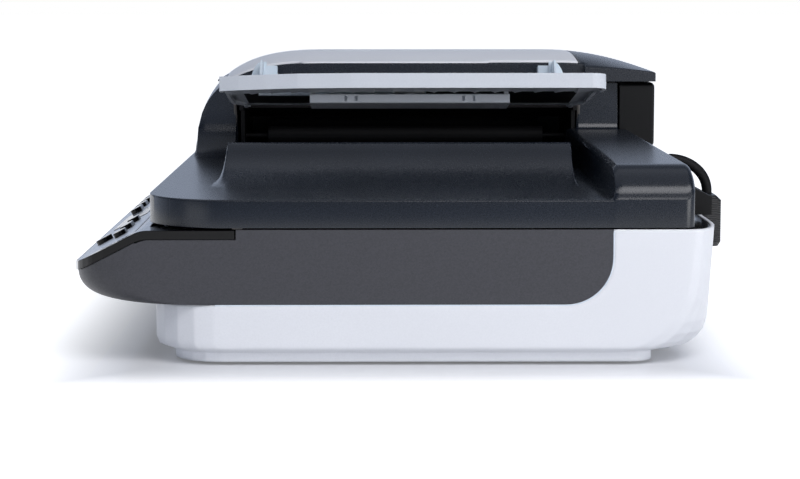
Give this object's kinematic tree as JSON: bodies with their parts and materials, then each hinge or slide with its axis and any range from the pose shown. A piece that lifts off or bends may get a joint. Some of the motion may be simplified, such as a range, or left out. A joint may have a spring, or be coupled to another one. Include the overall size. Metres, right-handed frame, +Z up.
{
  "type": "flatbed document scanner with a sheet feeder",
  "caption": "Desktop flatbed scanner with a lifting lid, a sheet feeder with its own hinged cover, a sloping input tray with paired paper guides and a sloping control panel.",
  "frame": {"origin": "on the surface the scanner stands on, under the middle of its bounding box", "axes": "+Z up; the control panel faces -Y and the lid hinges are at +Y; the sheet feeder is over the -X end and its tray points to +X"},
  "size_m": [0.49, 0.4086, 0.1782],
  "materials": {
    "casing_white": "white moulded plastic, fine satin texture",
    "lid_dark": "dark blue-grey moulded plastic, soft satin with a fine grain",
    "band_grained": "near-black plastic with a fine metallic-looking grain",
    "panel_gloss": "polished black plastic",
    "panel_silver": "silver painted plastic",
    "tray_grey": "light cool grey moulded plastic",
    "guide_pale": "pale bluish translucent plastic",
    "inner_black": "black plastic",
    "black_rubber": "black rubber",
    "pad_foam": "white foam with a smooth film face",
    "bed_glass": "clear float glass",
    "bright_steel": "ground and polished steel",
    "mirror_strip": "silvered glass strip",
    "green_board": "green lacquered circuit board",
    "lamp_tube": "white glass tube"
  },
  "bodies": {
    "base": {"lower_casing": "casing_white", "upper_band": "band_grained", "panel_frame": "panel_gloss", "panel_fascia": "panel_silver", "panel_board": "green_board", "display_window": "panel_gloss", "bed_frame": "panel_gloss", "bed_glass": "bed_glass", "feeder_glass": "bed_glass", "paper_rule": "casing_white", "guide_rod": "bright_steel", "rod_carrier": "inner_black", "drive_belt": "black_rubber", "scan_motor": "bright_steel", "main_board": "green_board", "usb_port": "inner_black", "power_jack": "inner_black", "adf_socket": "inner_black", "adf_plug": "black_rubber", "front_foot_near": "black_rubber", "front_foot_far": "black_rubber", "rear_foot_near": "casing_white", "rear_foot_far": "casing_white", "hinge_sleeves": "casing_white"},
    "carriage": {"carriage_frame": "inner_black", "scan_lamp": "lamp_tube", "scan_mirror": "mirror_strip", "scan_lens": "bed_glass", "sensor_board": "green_board"},
    "drive_wheel": {"drive_pulley": "casing_white"},
    "idler_wheel": {"idler_pulley": "casing_white"},
    "hinge_slider": {"hinge_leg_near": "inner_black", "hinge_leg_far": "inner_black", "adf_cable": "black_rubber"},
    "lid": {"lid_cover": "lid_dark", "lid_plate": "casing_white", "document_pad": "pad_foam", "hinge_block_near": "inner_black", "hinge_block_far": "inner_black", "adf_side_cover": "inner_black", "adf_chassis": "inner_black", "adf_motor": "bright_steel"},
    "feeder_cover": {"adf_cover": "lid_dark", "adf_cap": "casing_white"},
    "drum": {"feed_drum": "black_rubber"},
    "exit_rolls": {"exit_roller": "black_rubber"},
    "pick_roll": {"pick_roller": "black_rubber"},
    "tray": {"input_tray": "tray_grey", "rack_cover": "tray_grey"},
    "guide_front": {"paper_guide_front": "guide_pale"},
    "guide_rear": {"paper_guide_rear": "guide_pale"},
    "pinion": {"guide_pinion": "casing_white"},
    "power_button_body": {"power_button": "panel_gloss"},
    "cancel_button_body": {"cancel_button": "panel_gloss"},
    "start_button_body": {"start_button": "panel_gloss"},
    "menu_button_body": {"menu_button": "panel_gloss"},
    "task_button_1_body": {"task_button_1": "panel_gloss"},
    "task_button_2_body": {"task_button_2": "panel_gloss"},
    "task_button_3_body": {"task_button_3": "panel_gloss"},
    "task_button_4_body": {"task_button_4": "panel_gloss"}
  },
  "joints": [
    {"name": "carriage_slide", "type": "slide", "parent": "base", "child": "carriage", "axis": [1, 0, 0], "range_m": [0, 0.31]},
    {"name": "drive_wheel_spin", "type": "hinge", "parent": "base", "child": "drive_wheel", "pos_m": [0.1485, 0.036, 0.032], "axis": [0, 0, 1], "range_deg": [0, 2260]},
    {"name": "idler_wheel_spin", "type": "hinge", "parent": "base", "child": "idler_wheel", "pos_m": [-0.2205, 0.036, 0.032], "axis": [0, 0, 1], "range_deg": [0, 2260]},
    {"name": "lid_lift", "type": "slide", "parent": "base", "child": "hinge_slider", "axis": [0, 0, 1], "range_m": [0, 0.015], "deforming": ["adf_cable"]},
    {"name": "lid_hinge", "type": "hinge", "parent": "hinge_slider", "child": "lid", "pos_m": [0, 0.1783, 0.095], "axis": [-1, 0, 0], "range_deg": [0, 80], "deforming": ["adf_cable"]},
    {"name": "feeder_cover_hinge", "type": "hinge", "parent": "lid", "child": "feeder_cover", "pos_m": [-0.2375, 0, 0.16], "axis": [0, -1, 0], "range_deg": [0, 65]},
    {"name": "drum_spin", "type": "hinge", "parent": "lid", "child": "drum", "pos_m": [-0.207, 0, 0.106], "axis": [0, 1, 0], "continuous": true},
    {"name": "exit_spin", "type": "hinge", "parent": "lid", "child": "exit_rolls", "pos_m": [-0.139, 0, 0.114], "axis": [0, 1, 0], "continuous": true},
    {"name": "pick_spin", "type": "hinge", "parent": "feeder_cover", "child": "pick_roll", "pos_m": [-0.147, 0.002, 0.1455], "axis": [0, 1, 0], "continuous": true},
    {"name": "tray_hinge", "type": "hinge", "parent": "lid", "child": "tray", "pos_m": [-0.108, 0, 0.14], "axis": [0, -1, 0], "range_deg": [0, 30]},
    {"name": "guide_front_slide", "type": "slide", "parent": "tray", "child": "guide_front", "axis": [0, 1, 0], "range_m": [0, 0.055]},
    {"name": "guide_rear_slide", "type": "slide", "parent": "tray", "child": "guide_rear", "axis": [0, -1, 0], "range_m": [0, 0.055]},
    {"name": "pinion_spin", "type": "hinge", "parent": "tray", "child": "pinion", "pos_m": [0.01035, 0.002, 0.15986], "axis": [-0.1564, 0, 0.9877], "range_deg": [-320, 0]},
    {"name": "power_button_press", "type": "slide", "parent": "base", "child": "power_button_body", "axis": [0, 0.4648, -0.8854], "range_m": [0, 0.001], "stiffness_N_per_m": 600},
    {"name": "cancel_button_press", "type": "slide", "parent": "base", "child": "cancel_button_body", "axis": [0, 0.4648, -0.8854], "range_m": [0, 0.001], "stiffness_N_per_m": 600},
    {"name": "start_button_press", "type": "slide", "parent": "base", "child": "start_button_body", "axis": [0, 0.4648, -0.8854], "range_m": [0, 0.001], "stiffness_N_per_m": 600},
    {"name": "menu_button_press", "type": "slide", "parent": "base", "child": "menu_button_body", "axis": [0, 0.4648, -0.8854], "range_m": [0, 0.001], "stiffness_N_per_m": 600},
    {"name": "task_button_1_press", "type": "slide", "parent": "base", "child": "task_button_1_body", "axis": [0, 0.4648, -0.8854], "range_m": [0, 0.001], "stiffness_N_per_m": 600},
    {"name": "task_button_2_press", "type": "slide", "parent": "base", "child": "task_button_2_body", "axis": [0, 0.4648, -0.8854], "range_m": [0, 0.001], "stiffness_N_per_m": 600},
    {"name": "task_button_3_press", "type": "slide", "parent": "base", "child": "task_button_3_body", "axis": [0, 0.4648, -0.8854], "range_m": [0, 0.001], "stiffness_N_per_m": 600},
    {"name": "task_button_4_press", "type": "slide", "parent": "base", "child": "task_button_4_body", "axis": [0, 0.4648, -0.8854], "range_m": [0, 0.001], "stiffness_N_per_m": 600}
  ],
  "couplings": [
    {"joint": "drive_wheel_spin", "follows": "carriage_slide", "rad_per_m": 126.6},
    {"joint": "idler_wheel_spin", "follows": "carriage_slide", "rad_per_m": 126.6},
    {"joint": "exit_spin", "follows": "drum_spin", "ratio": 3.1429},
    {"joint": "pick_spin", "follows": "drum_spin", "ratio": -2.4444},
    {"joint": "guide_rear_slide", "follows": "guide_front_slide", "ratio": 1},
    {"joint": "pinion_spin", "follows": "guide_front_slide", "rad_per_m": -100}
  ]
}
